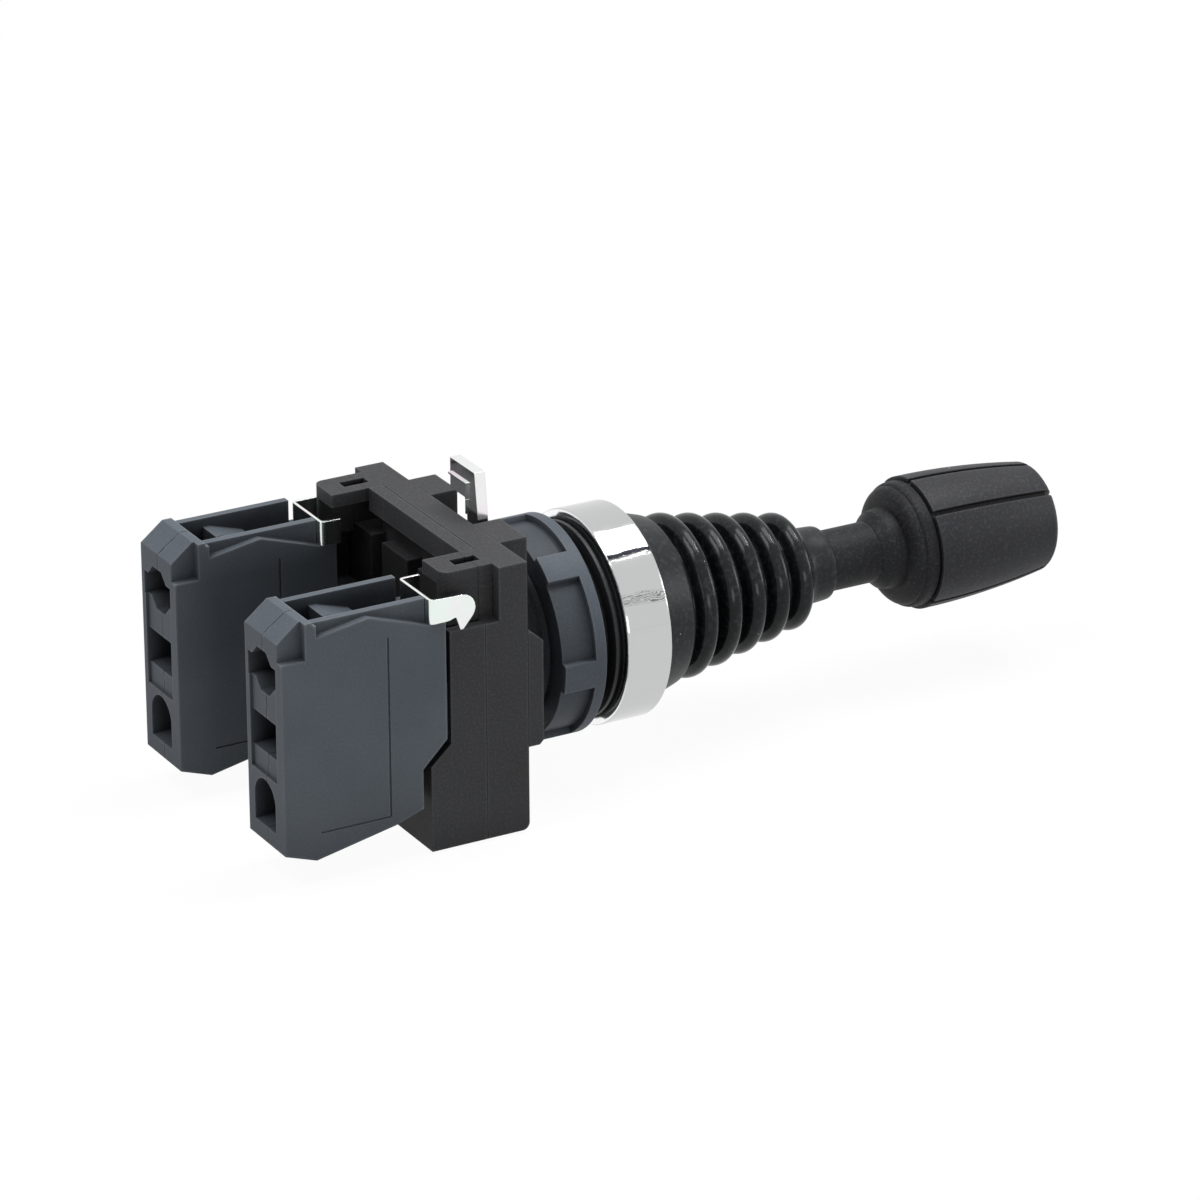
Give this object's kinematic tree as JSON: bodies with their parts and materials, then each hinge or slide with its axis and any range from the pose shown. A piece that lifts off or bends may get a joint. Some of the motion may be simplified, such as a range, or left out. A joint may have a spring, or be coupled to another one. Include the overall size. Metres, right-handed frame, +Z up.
{
  "type": "panel joystick switch",
  "caption": "Panel joystick with a tapered grip, ribbed boot, chrome ring, ring nut, mounting collar with locking lever and screw-terminal contact blocks.",
  "frame": {"origin": "on the barrel's axis at the back face of the gasket, where the panel's front lies", "axes": "+X along the lever towards the operator, +Z up (the side of the locking lever), +Y to the operator's right; the lever tilts about Z"},
  "size_m": [0.1244, 0.0403, 0.0434],
  "materials": {
    "grip": "satin black moulded plastic",
    "grip_insert": "turned brass",
    "grip_neck": "satin black moulded plastic",
    "lever_steel": "turned steel",
    "boot_rubber": "smooth black rubber",
    "bezel_chrome": "bright chrome plating",
    "gasket_rubber": "matt black rubber",
    "head_plastic": "matt dark grey plastic",
    "nut_plastic": "matt slate grey plastic",
    "collar_plastic": "matt near-black plastic",
    "slider_plastic": "natural white plastic",
    "block_plastic": "matt slate grey plastic",
    "zinc_steel": "bright zinc-plated steel sheet",
    "spring_steel": "drawn spring wire",
    "contact_metal": "pale copper alloy strip"
  },
  "bodies": {
    "base": {"pivot_pin": "lever_steel", "boot": "boot_rubber", "bezel": "bezel_chrome", "panel_gasket": "gasket_rubber", "head_body": "head_plastic", "guide_plug": "head_plastic", "collar_plate": "collar_plastic", "collar_front": "collar_plastic", "collar_rear": "collar_plastic", "left_pusher_spring": "spring_steel", "left_block_base": "block_plastic", "left_block_cover": "block_plastic", "left_return_spring": "spring_steel", "left_upper_terminal": "contact_metal", "left_lower_terminal": "contact_metal", "left_clamp_washers": "zinc_steel", "left_terminal_screws": "zinc_steel", "left_block_clip": "zinc_steel", "right_pusher_spring": "spring_steel", "right_block_base": "block_plastic", "right_block_cover": "block_plastic", "right_return_spring": "spring_steel", "right_upper_terminal": "contact_metal", "right_lower_terminal": "contact_metal", "right_clamp_washers": "zinc_steel", "right_terminal_screws": "zinc_steel", "right_block_clip": "zinc_steel"},
    "lever": {"rocker": "slider_plastic", "lever_shaft": "lever_steel", "lever_sleeve": "grip_neck", "grip_neck": "grip_neck", "grip": "grip", "grip_insert": "grip_insert"},
    "nut": {"ring_nut": "nut_plastic"},
    "lock": {"locking_lever": "zinc_steel"},
    "left_push": {"left_pusher": "slider_plastic"},
    "left_transfer": {"left_slider": "slider_plastic"},
    "left_contact": {"left_plunger": "slider_plastic", "left_contact_bridge": "contact_metal", "left_contact_spring": "spring_steel"},
    "right_push": {"right_pusher": "slider_plastic"},
    "right_transfer": {"right_slider": "slider_plastic"},
    "right_contact": {"right_plunger": "slider_plastic", "right_contact_bridge": "contact_metal", "right_contact_spring": "spring_steel"}
  },
  "joints": [
    {"name": "lever_tilt", "type": "hinge", "parent": "base", "child": "lever", "pos_m": [0.0032, 0, 0], "axis": [0, 0, 1], "range_deg": [-20, 20], "stiffness_Nm_per_rad": 0.3, "deforming": ["boot"]},
    {"name": "nut_turn", "type": "hinge", "parent": "base", "child": "nut", "pos_m": [-0.0052, 0, 0], "axis": [1, 0, 0], "continuous": true},
    {"name": "lock_swing", "type": "hinge", "parent": "base", "child": "lock", "pos_m": [-0.0154, 0, 0], "axis": [1, 0, 0], "range_deg": [-18, 0]},
    {"name": "left_push_slide", "type": "slide", "parent": "base", "child": "left_push", "axis": [1, 0, 0], "range_m": [-0.0021, 0.0021], "deforming": ["left_pusher_spring"]},
    {"name": "left_transfer_slide", "type": "slide", "parent": "base", "child": "left_transfer", "axis": [1, 0, 0], "range_m": [-0.0021, 0.0021]},
    {"name": "left_contact_slide", "type": "slide", "parent": "base", "child": "left_contact", "axis": [1, 0, 0], "range_m": [-0.0021, 0.0021], "deforming": ["left_return_spring"]},
    {"name": "right_push_slide", "type": "slide", "parent": "base", "child": "right_push", "axis": [1, 0, 0], "range_m": [-0.0021, 0.0021], "deforming": ["right_pusher_spring"]},
    {"name": "right_transfer_slide", "type": "slide", "parent": "base", "child": "right_transfer", "axis": [1, 0, 0], "range_m": [-0.0021, 0.0021]},
    {"name": "right_contact_slide", "type": "slide", "parent": "base", "child": "right_contact", "axis": [1, 0, 0], "range_m": [-0.0021, 0.0021], "deforming": ["right_return_spring"]}
  ],
  "couplings": [
    {"joint": "left_push_slide", "follows": "lever_tilt", "m_per_rad": 0.0058},
    {"joint": "left_transfer_slide", "follows": "lever_tilt", "m_per_rad": 0.0058},
    {"joint": "left_contact_slide", "follows": "lever_tilt", "m_per_rad": 0.0058},
    {"joint": "right_push_slide", "follows": "lever_tilt", "m_per_rad": -0.0058},
    {"joint": "right_transfer_slide", "follows": "lever_tilt", "m_per_rad": -0.0058},
    {"joint": "right_contact_slide", "follows": "lever_tilt", "m_per_rad": -0.0058}
  ]
}
